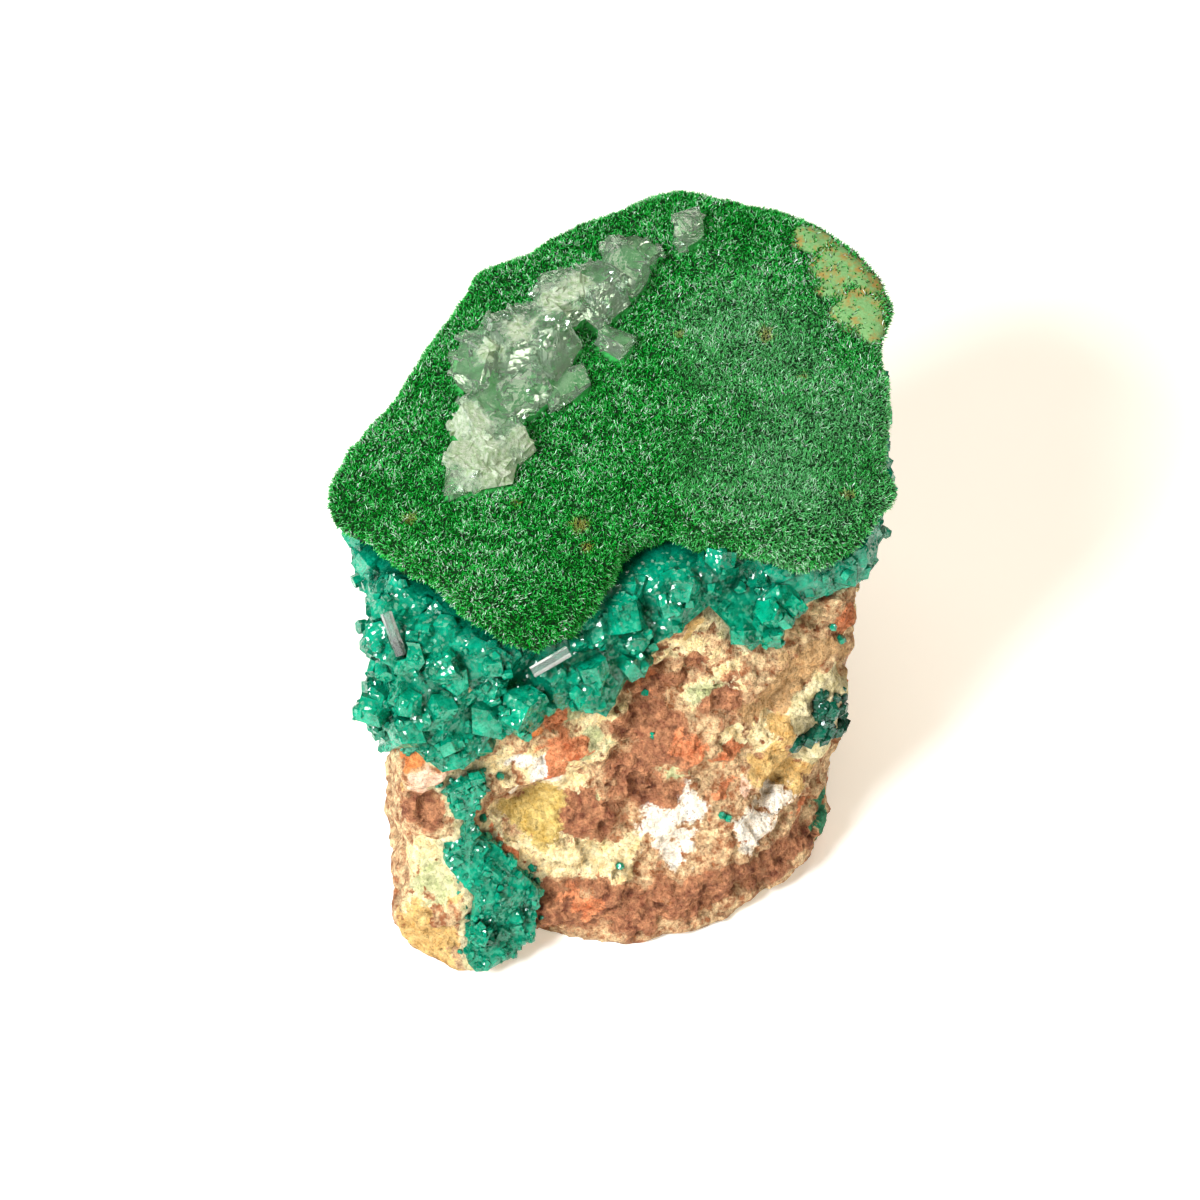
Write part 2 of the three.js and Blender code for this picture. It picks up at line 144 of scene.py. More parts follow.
def add(tree, kind, inputs=(), **settings):
    """A shader node; inputs pairs a socket's name or number with a value or the output that feeds it."""
    made = tree.nodes.new("ShaderNode" + kind)
    for name, value in settings.items():
        setattr(made, name, value)
    for socket, value in dict(inputs).items():
        if isinstance(value, bpy.types.NodeSocket):
            tree.links.new(value, made.inputs[socket])
        else:
            made.inputs[socket].default_value = value
    return made


def new_material(name):
    """An empty material: its node tree and its surface shader."""
    material = bpy.data.materials.new(name)
    material.use_nodes = True
    tree = material.node_tree
    tree.nodes.clear()
    shader = add(tree, "BsdfPrincipled")
    add(tree, "OutputMaterial", {"Surface": shader.outputs[0]})
    return material, tree, shader


MIX_A, MIX_B, MIX_RESULT = 6, 7, 2
print("cream in linear light:", [round(part, 3) for part in colour(0xF0E0B0)])

# %% [markdown]
# ## Floor and light
# The specimen stands on white paper under a bright, soft light from the left front, about 40
# degrees high, so its shadow falls to the right and back, pale and warm. A large soft box above
# and one in front fill the shadow, and the paper itself glows a little, which keeps it white.

# %% Stage
FLOOR_SIZE = 3.0
scene = bpy.context.scene
scene.view_settings.view_transform = "Standard"
world = bpy.data.worlds.new("white_room")
world.use_nodes = True
world.node_tree.nodes["Background"].inputs["Color"].default_value = colour(0xFFF6E6)
world.node_tree.nodes["Background"].inputs["Strength"].default_value = 0.12
scene.world = world

half = FLOOR_SIZE / 2
floor_mesh = bpy.data.meshes.new("floor")
floor_corners = [(-half, -half, 0), (half, -half, 0), (half, half, 0), (-half, half, 0)]
floor_mesh.from_pydata(floor_corners, [], [(0, 1, 2, 3)])
floor = bpy.data.objects.new("floor", floor_mesh)
scene.collection.objects.link(floor)
paper, tree, shader = new_material("white_paper")
shader.inputs["Base Color"].default_value = colour(0xFAFAFA)
shader.inputs["Roughness"].default_value = 0.9
shader.inputs["Emission Color"].default_value = colour(0xFFF2D8)
shader.inputs["Emission Strength"].default_value = 0.38
floor_mesh.materials.append(paper)

# Each lamp: name, place from the aim in millimetres, width in millimetres, watts, colour.
LAMPS = [
    ("key_left_front", (-250, -250, 290), 170, 3.8, 0xFAFCFF),
    ("top_soft", (40, 120, 420), 300, 1.1, 0xFFF6EA),
    ("fill_front", (120, -420, 200), 400, 0.7, 0xFFF6E8),
]
for name, place, width, watts, tint in LAMPS:
    lamp = bpy.data.lights.new(name, "AREA")
    lamp.size = width * MM
    lamp.energy = watts
    lamp.color = colour(tint)[:3]
    box = bpy.data.objects.new(name, lamp)
    box.location = aim + Vector(place) * MM
    box.rotation_mode = "QUATERNION"
    box.rotation_quaternion = (aim - box.location).to_track_quat("-Z", "Y")
    scene.collection.objects.link(box)
print("lamps:", [row[0] for row in LAMPS])

# %% [markdown]
# ## Mesh tools
# The frame's faceted solids are the carriers. A copy of one can be rebuilt on a fine voxel
# grid, and then each point is pushed in or out by noise, as weathering and growth did.

# %% Mesh tools
def new_piece(name, mesh, material, slot, *replaced):
    """A piece of the specimen that stands for these solids of the frame."""
    piece = bpy.data.objects.new(name, mesh)
    scene.collection.objects.link(piece)
    if material:
        mesh.materials.clear()
        mesh.materials.append(material)
    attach(piece, "root")
    if replaced:
        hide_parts(*replaced)
    return piece


def with_modifiers(mesh, *settings):
    """A copy of the mesh after modifiers, each given as (kind, its values)."""
    carrier = bpy.data.objects.new("carrier", mesh)
    scene.collection.objects.link(carrier)
    for kind, values in settings:
        modifier = carrier.modifiers.new(kind.lower(), kind)
        for name, value in values.items():
            setattr(modifier, name, value)
    evaluated = carrier.evaluated_get(bpy.context.evaluated_depsgraph_get())
    made = bpy.data.meshes.new_from_object(evaluated)
    bpy.data.objects.remove(carrier)
    return made


def points_of(mesh):
    """The mesh's points and their outward directions, as two arrays."""
    places = np.empty(len(mesh.vertices) * 3, np.float32)
    mesh.vertices.foreach_get("co", places)
    outward = np.array([normal.vector for normal in mesh.vertex_normals], np.float32)
    return places.reshape(-1, 3).astype(float), outward.astype(float)


def set_points(mesh, places):
    mesh.vertices.foreach_set("co", places.astype(np.float32).ravel())
    mesh.update()


def set_values(mesh, name, values):
    """A number for each point, which the material reads by its name."""
    mesh.attributes.new(name, "FLOAT", "POINT").data.foreach_set("value", values.astype(np.float32))


def grain(places, size_mm, octaves=3, shift=0.0):
    """Smooth noise from about -1 to 1 whose lumps are about this size."""
    scale = 1 / (size_mm * MM)
    return np.array([noise.fractal(Vector(place) * scale + Vector((shift,) * 3), 0.9, 2.0, octaves)
                     for place in places])


def nearness(places, spots, tree):
    """How near each point is to the nearest spot: 1 at its middle, 0 at its edge, down to -1 outside."""
    best = np.full(len(places), -1.0)
    for pixel, radius_mm in spots:
        middle = seen_at(pixel, tree)
        if middle is None:
            print("no surface under", pixel)
            continue
        distance = np.linalg.norm(places - np.array(middle), axis=1)
        best = np.maximum(best, 1 - distance / (radius_mm * MM))
    return best


print("mesh tools ready")

# %% [markdown]
# ## Rock
# The block is altered limestone: cream clay and calcite stained by iron. Brown and rust-red
# iron oxide stands up in grainy lumps, the cream between is smoother, and one smooth hollow
# is the mould of a crystal that fell out. The solid is rebuilt on a fine grid, and each stain is
# a soft field around spots found in the photograph. The same fields drive the relief and the colour.

# %% Rock stains
STAINS = {
    "cream": [((500, 770), 1.6), ((530, 765), 2.0), ((562, 782), 2.2), ((590, 748), 2.2), ((600, 712), 1.8),
              ((575, 698), 1.6), ((555, 832), 2.0), ((590, 858), 2.2), ((622, 862), 1.8), ((560, 862), 1.8),
              ((500, 818), 1.3), ((525, 846), 1.4), ((642, 838), 1.5), ((702, 690), 1.7), ((722, 672), 1.6),
              ((690, 640), 2.0), ((668, 652), 1.3), ((735, 740), 1.4), ((762, 735), 1.6), ((820, 690), 1.6),
              ((410, 850), 1.8), ((430, 845), 1.4), ((470, 750), 1.0), ((640, 690), 0.8), ((800, 720), 1.6),
              ((455, 870), 1.6), ((410, 905), 1.4)],
    "white": [((686, 813), 2.2), ((664, 822), 1.8), ((756, 830), 1.9), ((772, 803), 1.5), ((674, 852), 1.7),
              ((545, 768), 1.3), ((520, 765), 1.1), ((515, 790), 0.7)],
    "brown": [((653, 679), 2.1), ((640, 722), 2.4), ((668, 745), 2.6), ((630, 772), 2.5), ((660, 790), 1.9),
              ((729, 699), 1.9), ((703, 667), 1.0), ((580, 813), 2.1), ((604, 826), 2.0), ((560, 915), 2.7),
              ((600, 905), 2.5), ((640, 912), 2.6), ((680, 900), 2.6), ((720, 886), 2.2), ((748, 872), 1.8),
              ((774, 856), 2.0), ((797, 842), 1.7), ((414, 807), 1.7), ((428, 816), 1.3)],
    "rust": [((547, 724), 1.5), ((561, 742), 1.5), ((575, 750), 1.1), ((559, 764), 1.0), ((713, 787), 1.0),
             ((690, 748), 1.4), ((729, 754), 1.1), ((799, 809), 1.1), ((848, 622), 1.8),
             ((487, 832), 0.6), ((505, 845), 0.7), ((517, 855), 0.8), ((645, 672), 1.2), ((585, 905), 1.4)],
    "orange": [((407, 748), 1.7), ((403, 728), 1.1), ((525, 729), 1.1)],
    "tan": [((780, 697), 2.2), ((764, 707), 2.0), ((805, 667), 2.2), ((829, 652), 1.7), ((795, 681), 2.0),
            ((845, 640), 1.6), ((848, 655), 1.6)],
    "ochre": [((774, 767), 2.0), ((795, 771), 1.8), ((784, 734), 1.4), ((425, 936), 2.6), ((439, 959), 2.2),
              ((416, 923), 2.0), ((457, 887), 1.6), ((690, 628), 1.0)],
    "moss": [((595, 742), 1.4), ((703, 687), 1.3), ((676, 773), 0.9), ((591, 797), 0.9), ((434, 879), 1.9),
             ((457, 855), 1.3), ((575, 705), 1.3)],
    "pink": [((428, 771), 1.6), ((436, 788), 1.5), ((740, 790), 0.9)],
    "mould": [((516, 808), 1.6), ((530, 802), 1.8), ((543, 798), 1.6), ((536, 818), 1.8),
              ((545, 830), 1.4)],
    "verdigris": [((822, 815), 1.2), ((816, 830), 1.1), ((824, 795), 0.9)],
}
ROCK_VOXEL = 0.29 * MM
STAIN_WANDER_SIZE_MM = 2.2
STAIN_WANDER = 1.3 * MM

rock_mesh = with_modifiers(nodes["matrix"].data, ("REMESH", {"mode": "VOXEL", "voxel_size": ROCK_VOXEL}))
places, outward = points_of(rock_mesh)
wander = np.stack([grain(places, STAIN_WANDER_SIZE_MM, 3, shift=31.0 + k) for k in range(3)], axis=1)
wandered = places + wander * STAIN_WANDER
fields = {name: nearness(wandered, spots, rock_tree) for name, spots in STAINS.items()}
fields["mould"] = nearness(places, STAINS["mould"], rock_tree)
print("rock:", len(places), "points,", sum(map(len, STAINS.values())), "stain spots")

# %% [markdown]
# The sides and back that the photograph hides carry the same stains at the same sizes, so there
# the fields come from noise. A cream rim follows the lower edge of the dioptase all round.

# %% Rock fields
# Each stain where the photograph hides it: the size of its lumps in millimetres, and how common it is.
HIDDEN_STAINS = {
    "cream": (7.0, 0.0), "brown": (6.0, 0.1), "rust": (4.0, -0.45), "white": (5.0, -0.2),
    "tan": (8.0, -0.05), "ochre": (7.0, -0.1), "pink": (5.0, -0.3),
}
RIM_WIDTH = 0.8 * MM

facing = outward @ np.array(towards_camera)
hidden = np.clip(0.5 - facing * 2.5, 0, 1)
for index, (name, (size, bias)) in enumerate(HIDDEN_STAINS.items()):
    wild = grain(places, size, 2, shift=11.0 * (index + 1)) * 1.6 + bias
    fields[name] = fields[name] * (1 - hidden) + np.clip(wild, -1, 1) * hidden
gap = np.array([dioptase_tree.find_nearest(Vector(place))[3] for place in places])
fields["rim"] = np.clip(1 - gap / RIM_WIDTH, -1, 1)
for name, field in fields.items():
    set_values(rock_mesh, name, field)
print("stain fields:", {name: round(float((field > 0).mean()), 3) for name, field in fields.items()})

# %% [markdown]
# Relief: lumps of a few millimetres, grains under a millimetre that are strongest in the iron
# oxide, and a flat foot that stays on the table.

# %% Rock relief
RIDGE_HEIGHT = 0.55 * MM
BLOCK_HEIGHT = 0.42 * MM
CRUMB_HEIGHT = 0.26 * MM
OXIDE_SWELL = 0.25 * MM
MOST_OUT, MOST_IN = 0.4 * MM, -1.3 * MM
FOOT_BLEND = 1.2 * MM
CREASE = math.radians(55)


def blocks(places, size_mm, shift=0.0):
    """Broken ground: each cell of about this size keeps one height, and falls a little towards its edge."""
    scale = 1 / (size_mm * MM)
    heights = []
    for place in places:
        distances, middles = noise.voronoi(Vector(place) * scale + Vector((shift,) * 3))
        heights.append(noise.noise(middles[0] * 7.3) * 1.4 - 0.5 * distances[0])
    return np.array(heights)


oxide = np.clip(np.maximum(fields["brown"], fields["rust"]) * 2, 0, 1)
smooth_hollow = np.clip(fields["mould"] * 3, 0, 1)
relief = RIDGE_HEIGHT * (0.35 - np.abs(grain(places, 4.0, 3, shift=2.0)))
relief += BLOCK_HEIGHT * blocks(places, 1.7, shift=5.0)
relief += CRUMB_HEIGHT * blocks(places, 0.75, shift=8.0) * (0.6 + 0.8 * oxide)
relief += OXIDE_SWELL * oxide
relief = np.clip(relief * (1 - 0.8 * smooth_hollow), MOST_IN, MOST_OUT)
relief *= np.clip(places[:, 2] / FOOT_BLEND, 0, 1)
moved = places + outward * relief[:, None]
moved[:, 2] = np.maximum(moved[:, 2], 0)
set_points(rock_mesh, moved)
rock_mesh.shade_smooth()
rock_mesh.set_sharp_from_angle(angle=CREASE)
print("relief from", round(relief.min() / MM, 2), "to", round(relief.max() / MM, 2), "mm")

# %% [markdown]
# Iron-stained limestone is dull and dusty. Each stain's edge is broken by noise, so the colours
# meet in ragged grains, and a fine grit darkens and lightens all of them. Painted shade darkens
# the crevices and hollows.

# %% Rock material
STAIN_COLOURS = {
    "tan": (0xBC8E5A, 0xDAB482), "cream": (0xFFF0C0, 0xF4D292), "ochre": (0xCE9E56, 0xEAC684),
    "moss": (0xB9BF84, 0xE0DAAA), "pink": (0xE3AC88, 0xF2D2B8), "white": (0xFFFDF4, 0xFFEACC),
    "rim": (0xF2E6BC, 0xD8C890), "brown": (0x7E4630, 0xC88C62), "rust": (0xBE5E32, 0xE69A6A),
    "orange": (0xD26A2E, 0xE69658), "mould": (0xBE9A48, 0xDCC078), "verdigris": (0x1E6B48, 0x3F8F66),
}
EDGE_GRAIN_MM = 1.6
SPECKLE_MM = 0.8
GRIT_MM = 0.26
GRAIN_MM = 0.38

limestone, tree, shader = new_material("iron_stained_limestone")
place = add(tree, "TexCoord").outputs["Object"]
edge = add(tree, "TexNoise", {"Vector": place, "Scale": 1 / (EDGE_GRAIN_MM * MM),
                              "Detail": 8, "Roughness": 0.72})
speckle = add(tree, "TexNoise", {"Vector": place, "Scale": 1 / (SPECKLE_MM * MM),
                                 "Detail": 5, "Roughness": 0.7})
grit = add(tree, "TexNoise", {"Vector": place, "Scale": 1 / (GRIT_MM * MM), "Detail": 4, "Roughness": 0.7})
shade = add(tree, "MapRange", {"Value": speckle.outputs[0], "From Min": 0.36, "From Max": 0.64})
wobble = add(tree, "MapRange", {"Value": edge.outputs[0], "From Min": 0.25, "From Max": 0.75,
                                "To Min": -0.8, "To Max": 0.8})
mottle = add(tree, "ValToRGB", {0: speckle.outputs[0]})
for stop, (position, tint) in zip(mottle.color_ramp.elements, ((0.38, 0xA0643E), (0.62, 0xF4D6A4))):
    stop.position = position
    stop.color = colour(tint)
mixed = mottle.outputs[0]
for name, (first, second) in STAIN_COLOURS.items():
    near = add(tree, "Attribute", attribute_name=name)
    ragged = add(tree, "Math", {0: near.outputs["Fac"], 1: wobble.outputs[0]}, operation="ADD")
    mask = add(tree, "MapRange", {"Value": ragged.outputs[0], "From Min": -0.02, "From Max": 0.14})
    stain = add(tree, "Mix", {0: shade.outputs[0], MIX_A: colour(first), MIX_B: colour(second)},
                data_type="RGBA")
    mixed = add(tree, "Mix", {0: mask.outputs[0], MIX_A: mixed, MIX_B: stain.outputs[MIX_RESULT]},
                data_type="RGBA").outputs[MIX_RESULT]
grains = add(tree, "TexVoronoi", {"Vector": place, "Scale": 1 / (GRAIN_MM * MM)})
dust = add(tree, "MapRange", {"Value": grit.outputs[0], "From Min": 0.3, "From Max": 0.7,
                              "To Min": 0.72, "To Max": 1.26})
sand = add(tree, "MapRange", {"Value": grains.outputs["Color"], "To Min": 0.70, "To Max": 1.18})
# painted shade: the occlusion node darkens the colour in crevices and hollows
crevice_shade = add(tree, "AmbientOcclusion", {"Distance": 1.2 * MM}, samples=2)
shadowed = add(tree, "MapRange", {"Value": crevice_shade.outputs["AO"], "From Min": 0.25, "From Max": 0.85,
                                  "To Min": 0.45, "To Max": 1.08})
for layer in (dust, sand, shadowed):
    mixed = add(tree, "Mix", {0: 1.0, MIX_A: mixed, MIX_B: layer.outputs[0]},
                data_type="RGBA", blend_type="MULTIPLY").outputs[MIX_RESULT]
tree.links.new(mixed, shader.inputs["Base Color"])
coarse = add(tree, "Bump", {"Height": speckle.outputs[0], "Strength": 1.0, "Distance": 0.6 * MM})
sandy = add(tree, "Bump", {"Height": grains.outputs["Distance"], "Strength": 0.8, "Distance": 0.2 * MM,
                           "Normal": coarse.outputs[0]}, invert=True)
bump = add(tree, "Bump", {"Height": grit.outputs[0], "Strength": 0.9, "Distance": 0.16 * MM,
                          "Normal": sandy.outputs[0]})
tree.links.new(bump.outputs[0], shader.inputs["Normal"])
shader.inputs["Roughness"].default_value = 0.85
shader.inputs["Specular IOR Level"].default_value = 0.3
rock = new_piece("rock", rock_mesh, limestone, "matrix", "matrix")
print("rock material:", len(tree.nodes), "nodes")

# %% [markdown]
# ## Velvet malachite
# Velvet malachite is a carpet of fine copper carbonate needles, each about half a millimetre
# long. Hair would give it, but the specimen is a mesh to be kept, so each needle is a thin
# closed spike. They stand on a crust that is the frame's solid, lowered by their height, so
# their tips end where the solid does.

# %% Malachite crust
PILE_HEIGHT = 0.30 * MM
CRUST_VOXEL = 0.38 * MM
BARE_CORNER = [((845, 262), 3.0), ((862, 305), 2.6), ((815, 235), 1.8), ((872, 280), 2.0),
               ((876, 325), 1.6), ((835, 285), 1.6)]
OCHRE_SPECKS = [((582, 522), 0.9), ((412, 516), 0.6), ((768, 332), 0.7), ((682, 332), 0.5),
                ((850, 492), 0.6), ((805, 372), 0.5), ((590, 545), 0.5), ((520, 500), 0.4)]
# painted sheen: the right side of the pile is painted paler, partly worn pile and partly sheen
SHEEN_SIDE = [((800, 480), 12.0), ((760, 340), 9.0), ((840, 420), 10.0)]

crust_mesh = with_modifiers(
    nodes["malachite_crust"].data,
    ("REMESH", {"mode": "VOXEL", "voxel_size": CRUST_VOXEL}),
    ("SMOOTH", {"factor": 0.5, "iterations": 1}),
)
places, outward = points_of(crust_mesh)
bare = np.clip(nearness(places, BARE_CORNER, crust_tree) * 2 + 0.5 * grain(places, 1.6), -1, 1)
ochre = np.clip(nearness(places, OCHRE_SPECKS, crust_tree) + 0.35 * grain(places, 0.9), -1, 1)
pale = np.clip(nearness(places, SHEEN_SIDE, crust_tree) + 0.4 * grain(places, 5.0), 0, 1)
pile = PILE_HEIGHT * np.clip(1 - bare, 0.3, 1)
swell = 0.22 * MM * grain(places, 2.6, 3, shift=3.0)
set_points(crust_mesh, places + outward * (swell - pile)[:, None])
for name, field in (("bare", bare), ("ochre", ochre), ("pale", pale)):
    set_values(crust_mesh, name, field)
crust_mesh.shade_smooth()
print("crust:", len(places), "points")

# %% Malachite needles
NEEDLES = 98000
NEEDLE_WIDTH = 0.15 * MM
NEEDLE_LENGTHS = (0.30 * MM, 0.60 * MM)
NEEDLE_TILT = math.radians(60)
NEEDLE_ROOT = 0.10 * MM
LOWEST_FACING = -0.35
NEEDLE_ROOM = 0.7 * MM
CALCITE_SHADE_ROOM = 2.5 * MM
rng = np.random.default_rng(20261125)


def scatter(mesh, count, keep):
    """Points spread evenly over the faces that keep accepts: their places, directions and mesh points."""
    mesh.calc_loop_triangles()
    corners = np.array([triangle.vertices[:] for triangle in mesh.loop_triangles])
    places, outward = points_of(mesh)
    a, b, c = (places[corners[:, k]] for k in range(3))
    cross = np.cross(b - a, c - a)
    area = np.linalg.norm(cross, axis=1)
    facing = cross / np.maximum(area, 1e-15)[:, None]
    weight = area * keep((a + b + c) / 3, facing, corners)
    chosen = rng.choice(len(corners), count, p=weight / weight.sum())
    u, v = rng.random((2, count))
    flip = u + v > 1
    u[flip], v[flip] = 1 - u[flip], 1 - v[flip]
    spots = a[chosen] + (b - a)[chosen] * u[:, None] + (c - a)[chosen] * v[:, None]
    leaning = outward[corners[chosen]].mean(axis=1)
    return spots, leaning / np.linalg.norm(leaning, axis=1)[:, None], corners[chosen, 0], weight.sum() / 2


def under_calcite(middles, reach):
    """True where calcite lies within this reach over the velvet."""
    hits = [calcite_tree.ray_cast(Vector(middle), Vector((0, 0, 1)), reach)[0] for middle in middles]
    return np.array([hit is not None for hit in hits])


def velvet_grows(middles, facing, corners):
    free = (facing[:, 2] > LOWEST_FACING) & ~under_calcite(middles, NEEDLE_ROOM)
    return free * np.clip(0.75 - 0.8 * bare[corners[:, 0]], 0.06, 1)


# painted shade: the crust within this reach under the calcite is marked to be painted dark
set_values(crust_mesh, "calcite_shade", under_calcite(points_of(crust_mesh)[0], CALCITE_SHADE_ROOM).astype(float))
roots, upright, carriers, area = scatter(crust_mesh, NEEDLES, velvet_grows)
print("velvet:", round(area / MM ** 2), "square mm,", round(NEEDLES / (area / MM ** 2), 1), "needles each")

# %% [markdown]
# Each needle leans its own way, and tufts of them grow longer, which makes the mottling that
# catches the light; the longer tufts are also painted paler, a painted highlight. A needle has
# three long sides and a closed root, so it is four triangles.

# %% Needle shapes
SIDES = 3
CORNERS = SIDES + 1
FACES_OF_ONE = np.array([[0, 2, 1], [0, 1, 3], [1, 2, 3], [2, 0, 3]])

across = np.cross(upright, rng.normal(size=(NEEDLES, 3)))
across /= np.linalg.norm(across, axis=1)[:, None]
lean = NEEDLE_TILT * np.sqrt(rng.random(NEEDLES))
axis = upright * np.cos(lean)[:, None] + across * np.sin(lean)[:, None]
side = np.cross(axis, upright + 0.01 * across)
side /= np.linalg.norm(side, axis=1)[:, None]
third = np.cross(axis, side)
tuft = grain(roots, 1.2, 2, shift=21.0)
shortest, longest = NEEDLE_LENGTHS
length = (shortest + (longest - shortest) * rng.random(NEEDLES)) * (1 + 0.3 * tuft)
start = roots - axis * NEEDLE_ROOT
turns = rng.random(NEEDLES) * math.tau
corners = []
for k in range(SIDES):
    angle = turns + k * math.tau / SIDES
    spoke = side * np.cos(angle)[:, None] + third * np.sin(angle)[:, None]
    corners.append(start + spoke * NEEDLE_WIDTH / 2)
corners.append(start + axis * length[:, None])
needle_points = np.stack(corners, axis=1)
patch = grain(roots, 7.0, 2, shift=43.0)
# painted highlight: longer tufts are painted paler; the rest is each needle's tone at random and in broad
# patches
needle_shade = np.clip(rng.random(NEEDLES) ** 1.3 + 0.25 * tuft + 0.15 * patch, 0, 1)
print("needle length:", round(length.min() / MM, 2), "to", round(length.max() / MM, 2), "mm")

# %% [markdown]
# The carpet is kept as two pieces, the front half and the back half. The export paints each
# piece into its own flat map. Left to itself it would unfold every needle, so each one is given
# a small cell of a square grid here, with its root at the bottom of the cell.

# %% Needle meshes
CELL_CORNERS = np.array([[0.1, 0.1], [0.9, 0.1], [0.5, 0.1], [0.5, 0.9]])


def needle_mesh_of(name, rows):
    """One mesh of the needles in these rows, with what the material reads at each point."""
    count = len(rows)
    faces = (np.arange(count)[:, None, None] * CORNERS + FACES_OF_ONE[None]).reshape(-1, 3)
    mesh = bpy.data.meshes.new(name)
    mesh.from_pydata(needle_points[rows].reshape(-1, 3), [], faces)
    set_values(mesh, "tip", np.tile([0, 0, 0, 1.0], count))
    for label, each in (("shade", needle_shade), ("ochre", ochre[carriers]), ("pale", pale[carriers])):
        set_values(mesh, label, np.repeat(each[rows], CORNERS))
    cells = math.ceil(math.sqrt(count))
    cell = np.stack([np.arange(count) % cells, np.arange(count) // cells], axis=1)
    cell_points = (cell[:, None] + CELL_CORNERS[None]).reshape(-1, 2) / cells
    flat_map = mesh.uv_layers.new(name="OFBake")
    flat_map.data.foreach_set("uv", cell_points[faces.ravel()].astype(np.float32).ravel())
    print(name, len(faces), "triangles")
    return mesh


front_first = np.argsort(roots[:, 1])
needle_meshes = {
    "velvet_front": needle_mesh_of("velvet_front", front_first[:NEEDLES // 2]),
    "velvet_back": needle_mesh_of("velvet_back", front_first[NEEDLES // 2:]),
}

# %% [markdown]
# Malachite is a silky green mineral. The needles carry painted shade at their roots, where little
# light reaches, and turn pale and glassy at their tips; the palest needles are painted glints. On
# the right the pile is paler, partly worn shorter and partly painted sheen, and rust has settled
# in a few specks. The bare corner is a smooth green skin with ochre on it. Between the needles
# the crust is green, painted dark as shade under the calcite.

# %% Malachite material
MALACHITE_IOR = 1.75


def silky_malachite(name):
    """The needles' material: painted shade from root to tip, needle to needle with painted glints, the
    paler side with painted sheen, and rust specks.
    """
    material, tree, shader = new_material(name)
    tip = add(tree, "Attribute", attribute_name="tip")
    each = add(tree, "Attribute", attribute_name="shade")
    ramp = add(tree, "ValToRGB", {0: each.outputs["Fac"]})
    # each needle's own green, dark to mint; the palest, near-white end is painted glints
    stops = [(0.0, 0x045A10), (0.3, 0x0AAA2A), (0.55, 0x1EDA4A), (0.8, 0x70F08A), (1.0, 0xE0FFE6)]
    ramp.color_ramp.elements.remove(ramp.color_ramp.elements[1])
    for position, tint in stops:
        stop = ramp.color_ramp.elements[0] if position == 0 else ramp.color_ramp.elements.new(position)
        stop.color = colour(tint)
    # painted sheen on the right side, mixed over the needles' green
    sheen_side_mask = add(tree, "Attribute", attribute_name="pale")
    paler = add(tree, "Math", {0: sheen_side_mask.outputs["Fac"], 1: 0.45}, operation="MULTIPLY")
    green_with_painted_sheen = add(tree, "Mix", {0: paler.outputs[0], MIX_A: ramp.outputs[0], MIX_B: colour(0x8CD89C)},
                data_type="RGBA")
    specks = add(tree, "Attribute", attribute_name="ochre")
    rusty = add(tree, "MapRange", {"Value": specks.outputs["Fac"], "From Min": 0.0, "From Max": 0.6,
                                   "To Max": 0.5})
    stained = add(tree, "Mix", {0: rusty.outputs[0], MIX_A: green_with_painted_sheen.outputs[MIX_RESULT],
                                MIX_B: colour(0xD2A45C)}, data_type="RGBA")
    # painted shade: the needles' roots are painted near black, where little light reaches between them
    rise = add(tree, "MapRange", {"Value": tip.outputs["Fac"], "From Min": 0.2, "From Max": 0.85})
    grown = add(tree, "Mix", {0: rise.outputs[0], MIX_A: colour(0x012006),
                              MIX_B: stained.outputs[MIX_RESULT]}, data_type="RGBA")
    tree.links.new(grown.outputs[MIX_RESULT], shader.inputs["Base Color"])
    shader.inputs["Roughness"].default_value = 0.24
    shader.inputs["IOR"].default_value = MALACHITE_IOR
    shader.inputs["Specular IOR Level"].default_value = 0.2
    return material


green_with_painted_sheen = silky_malachite("silky_malachite")
for name, mesh in needle_meshes.items():
    new_piece(name, mesh, green_with_painted_sheen, "malachite")

massive, tree, shader = new_material("massive_malachite")
place = add(tree, "TexCoord").outputs["Object"]
mottle = add(tree, "TexNoise", {"Vector": place, "Scale": 1 / (1.1 * MM), "Detail": 7, "Roughness": 0.72})
dusting = add(tree, "TexNoise", {"Vector": place, "Scale": 1 / (0.25 * MM), "Detail": 4, "Roughness": 0.7})
skin = add(tree, "Mix", {0: dusting.outputs[0], MIX_A: colour(0x487C40), MIX_B: colour(0x8CB87C)},
           data_type="RGBA")
rust = add(tree, "MapRange", {"Value": mottle.outputs[0], "From Min": 0.46, "From Max": 0.62,
                              "To Max": 0.85})
rusted = add(tree, "Mix", {0: rust.outputs[0], MIX_A: skin.outputs[MIX_RESULT], MIX_B: colour(0xA07638)},
             data_type="RGBA")
bald = add(tree, "Attribute", attribute_name="bare")
open_skin = add(tree, "MapRange", {"Value": bald.outputs["Fac"], "From Min": -0.1, "From Max": 0.35})
# painted shade: between the needles the crust is painted near black under the calcite
calcite_shade_mask = add(tree, "Attribute", attribute_name="calcite_shade")
calcite_shaded_skin = add(tree, "Mix", {0: calcite_shade_mask.outputs["Fac"], MIX_A: colour(0x02280A), MIX_B: colour(0x40AC56)},
           data_type="RGBA")
ground = add(tree, "Mix", {0: open_skin.outputs[0], MIX_A: calcite_shaded_skin.outputs[MIX_RESULT],
                           MIX_B: rusted.outputs[MIX_RESULT]}, data_type="RGBA")
tree.links.new(ground.outputs[MIX_RESULT], shader.inputs["Base Color"])
bump = add(tree, "Bump", {"Height": dusting.outputs[0], "Strength": 0.7, "Distance": 0.1 * MM})
tree.links.new(bump.outputs[0], shader.inputs["Normal"])
shader.inputs["Roughness"].default_value = 0.8
shader.inputs["IOR"].default_value = MALACHITE_IOR
shader.inputs["Specular IOR Level"].default_value = 0.08
